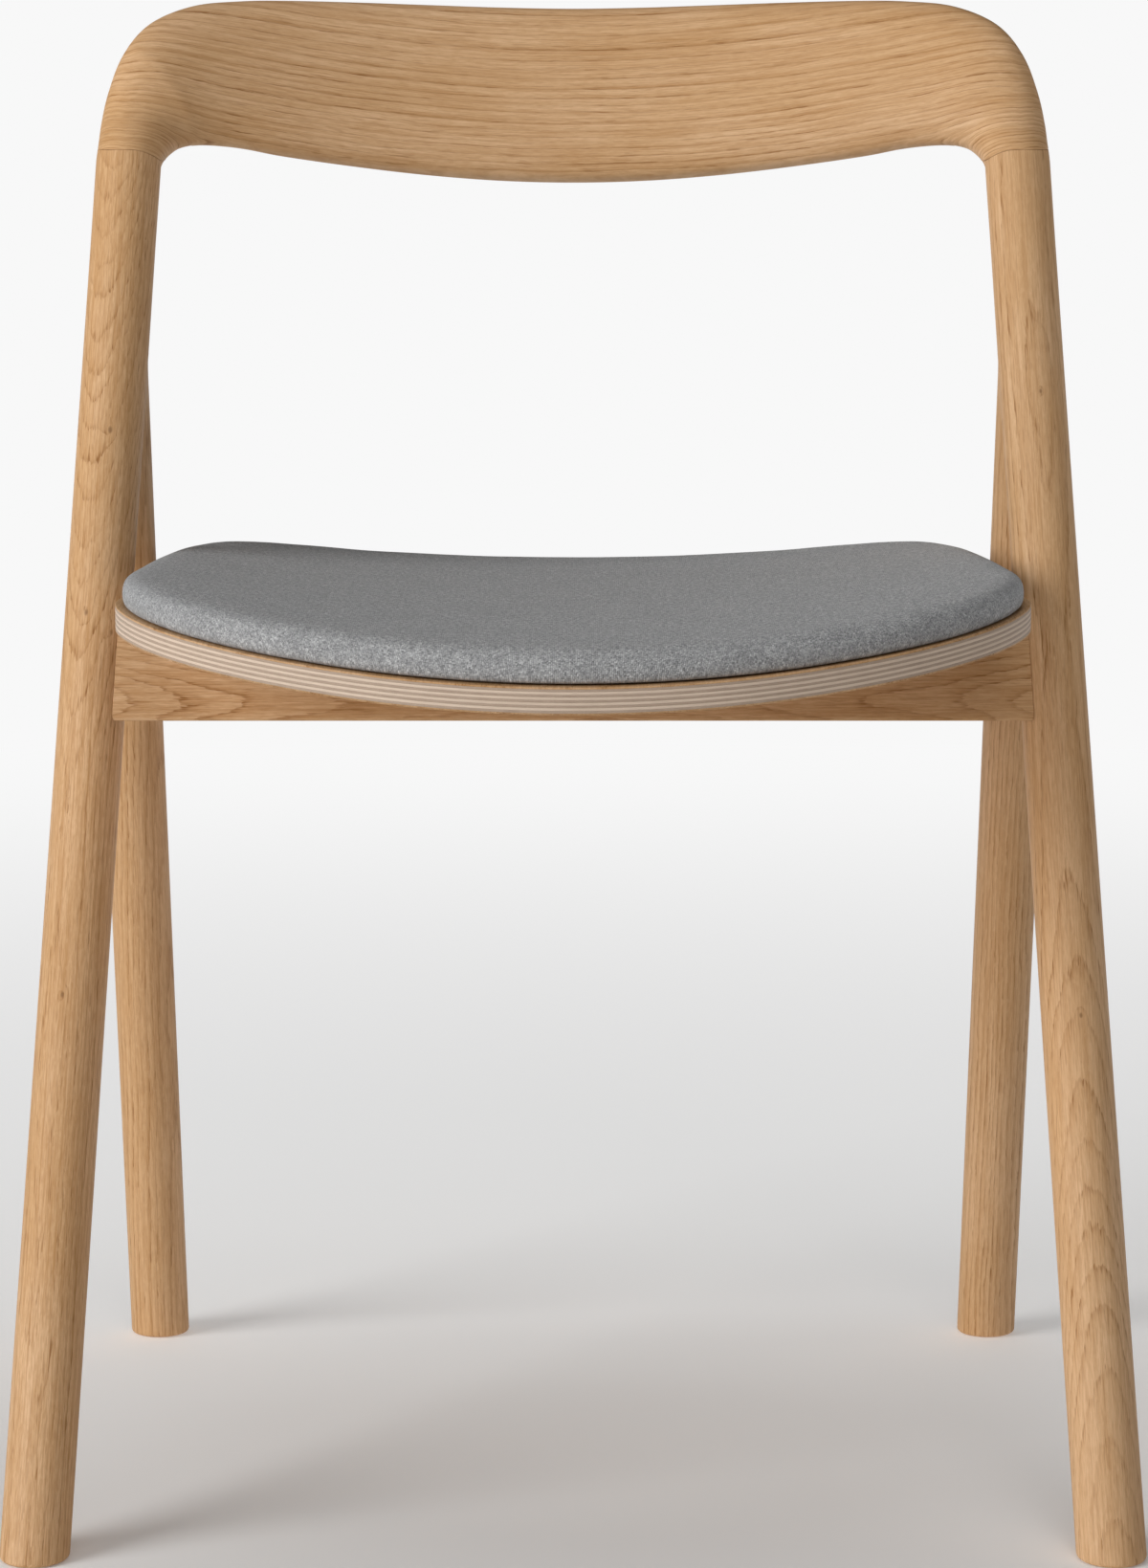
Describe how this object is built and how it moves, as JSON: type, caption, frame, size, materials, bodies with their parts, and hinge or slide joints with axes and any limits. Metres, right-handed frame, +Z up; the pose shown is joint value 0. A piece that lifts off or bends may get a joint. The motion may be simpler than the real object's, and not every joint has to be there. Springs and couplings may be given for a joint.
{
  "type": "upholstered dining chair",
  "caption": "Dining chair with a round-legged oak A-frame, a low concave slat backrest, a curved moulded plywood seat and a thin upholstered wool pad.",
  "frame": {"origin": "on the floor, at the middle of the chair's footprint box", "axes": "+X from the left to the right side frame as seen from the front, +Y towards the back, +Z up"},
  "size_m": [0.5236, 0.474, 0.7052],
  "materials": {
    "oak": "soaped, matt",
    "dowel": "planed beech",
    "oak_veneer": "soaped, matt",
    "ply_light": "sanded edge",
    "ply_dark": "sanded end grain",
    "steel": "zinc plated",
    "board": "raw plywood",
    "foam": "open cell foam",
    "wool": "woven grey melange wool",
    "glide": "matt"
  },
  "bodies": {
    "root": {"front_leg_left": "oak", "front_leg_right": "oak", "rear_leg_left": "oak", "rear_leg_right": "oak", "backrest": "oak", "front_rail": "oak", "rear_rail": "oak", "backrest_dowels": "dowel", "rear_leg_dowels": "dowel", "front_rail_dowels": "dowel", "rear_rail_dowels": "dowel", "seat_top_veneer": "oak_veneer", "seat_long_grain_plies": "ply_light", "seat_cross_grain_plies": "ply_dark", "seat_bottom_veneer": "oak_veneer", "seat_inserts": "steel", "seat_bolts": "steel", "pad_board": "board", "pad_foam": "foam", "pad_cover": "wool", "pad_screws": "steel", "front_glides": "glide", "rear_glides": "glide"}
  },
  "joints": []
}
